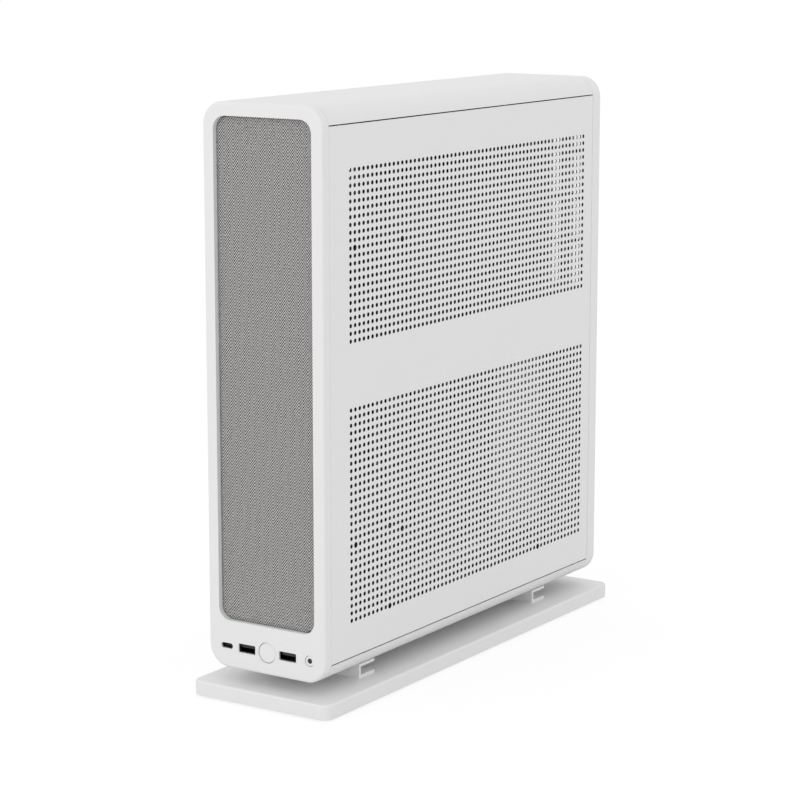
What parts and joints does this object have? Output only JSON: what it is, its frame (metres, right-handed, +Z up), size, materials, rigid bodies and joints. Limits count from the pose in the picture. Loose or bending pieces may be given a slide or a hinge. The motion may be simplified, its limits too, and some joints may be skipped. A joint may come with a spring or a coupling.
{
  "type": "desktop computer tower",
  "caption": "Slim upright desktop computer case on a flat stand: fabric front screen, socket row with power button, punched side panels, small-form-factor hardware inside.",
  "frame": {"origin": "on the ground under the middle of the stand", "axes": "+Z up, -Y towards the front screen, +X towards the panel on the right seen from the front"},
  "size_m": [0.11, 0.374, 0.395],
  "materials": {
    "white_shell": "fine matt white powder coat",
    "white_plastic": "matt white moulded plastic",
    "screen_fabric": "grey twill weave",
    "black_plastic": "matt black moulded plastic",
    "black_steel": "black powder coat",
    "bright_steel": "plated steel",
    "fin_aluminium": "plain aluminium",
    "board_laminate": "dark circuit board",
    "connector_plastic": "black connector plastic",
    "pad_rubber": "matt rubber"
  },
  "bodies": {
    "chassis": {"top_cover": "white_shell", "bottom_cover": "white_shell", "rear_frame": "white_shell", "front_plate": "white_shell", "rear_plate": "white_shell", "floor_plate": "white_shell", "roof_plate": "white_shell", "divider_plate": "white_shell", "board_tray": "white_shell", "board_standoffs": "bright_steel", "case_fan_frames": "black_plastic", "fan_rails": "black_steel", "motherboard": "board_laminate", "board_connectors": "connector_plastic", "memory_modules": "board_laminate", "processor_socket": "bright_steel", "processor": "bright_steel", "cooler_heatsink": "fin_aluminium", "cooler_fan_frame": "black_plastic", "regulator_heatsink": "fin_aluminium", "rear_sockets": "bright_steel", "io_shield": "bright_steel", "supply_case": "black_steel", "supply_fan_frame": "black_plastic", "supply_grille": "black_steel", "mains_lead": "black_plastic", "inner_leads": "black_plastic", "power_inlet": "black_plastic", "riser_board": "board_laminate", "graphics_board": "board_laminate", "graphics_heatsink": "fin_aluminium", "graphics_shroud": "black_plastic", "graphics_backplate": "black_steel", "graphics_bracket": "bright_steel", "graphics_sockets": "bright_steel", "card_brace": "white_shell", "drive": "black_plastic", "drive_bracket": "black_steel", "front_socket_board": "board_laminate", "usb_sockets": "bright_steel", "audio_socket": "white_plastic", "stand_plate": "white_shell", "stand_pads": "pad_rubber", "stand_feet": "white_shell", "case_screws": "bright_steel"},
    "bezel": {"front_bezel": "white_plastic", "fabric_screen": "screen_fabric", "screen_frame": "black_plastic"},
    "right_side": {"right_panel": "white_shell", "right_panel_studs": "bright_steel"},
    "left_side": {"left_panel": "white_shell", "left_panel_studs": "bright_steel"},
    "case_fan_front": {"case_fan_rotor_front": "black_plastic"},
    "case_fan_rear": {"case_fan_rotor_rear": "black_plastic"},
    "cooler_fan": {"cooler_fan_rotor": "black_plastic"},
    "supply_fan": {"supply_fan_rotor": "black_plastic"},
    "rocker": {"supply_switch": "black_plastic"},
    "graphics_fan_front": {"graphics_rotor_front": "black_plastic"},
    "graphics_fan_rear": {"graphics_rotor_rear": "black_plastic"},
    "button": {"power_button": "white_plastic"}
  },
  "joints": [
    {"name": "bezel_pull", "type": "slide", "parent": "chassis", "child": "bezel", "axis": [0, -1, 0], "range_m": [0, 0.06]},
    {"name": "right_panel_pull", "type": "slide", "parent": "chassis", "child": "right_side", "axis": [1, 0, 0], "range_m": [0, 0.06]},
    {"name": "left_panel_pull", "type": "slide", "parent": "chassis", "child": "left_side", "axis": [-1, 0, 0], "range_m": [0, 0.06]},
    {"name": "power_press", "type": "slide", "parent": "bezel", "child": "button", "axis": [0, 1, 0], "range_m": [0, 0.0012], "stiffness_N_per_m": 900, "springref_m": -0.001},
    {"name": "case_fan_front_spin", "type": "hinge", "parent": "chassis", "child": "case_fan_front", "pos_m": [-0.0432, -0.08, 0.1205], "axis": [1, 0, 0], "continuous": true},
    {"name": "case_fan_rear_spin", "type": "hinge", "parent": "chassis", "child": "case_fan_rear", "pos_m": [-0.0432, 0.064, 0.1205], "axis": [1, 0, 0], "continuous": true},
    {"name": "cooler_fan_spin", "type": "hinge", "parent": "chassis", "child": "cooler_fan", "pos_m": [-0.004, 0.0735, 0.3146], "axis": [1, 0, 0], "continuous": true},
    {"name": "supply_fan_spin", "type": "hinge", "parent": "chassis", "child": "supply_fan", "pos_m": [0.0069, -0.0855, 0.269], "axis": [1, 0, 0], "continuous": true},
    {"name": "graphics_fan_front_spin", "type": "hinge", "parent": "chassis", "child": "graphics_fan_front", "pos_m": [-0.024, -0.018, 0.1362], "axis": [1, 0, 0], "continuous": true},
    {"name": "graphics_fan_rear_spin", "type": "hinge", "parent": "chassis", "child": "graphics_fan_rear", "pos_m": [-0.024, 0.098, 0.1362], "axis": [1, 0, 0], "continuous": true},
    {"name": "supply_switch_rock", "type": "hinge", "parent": "chassis", "child": "rocker", "pos_m": [0.012, -0.1465, 0.291], "axis": [1, 0, 0], "range_deg": [0, 16]}
  ]
}
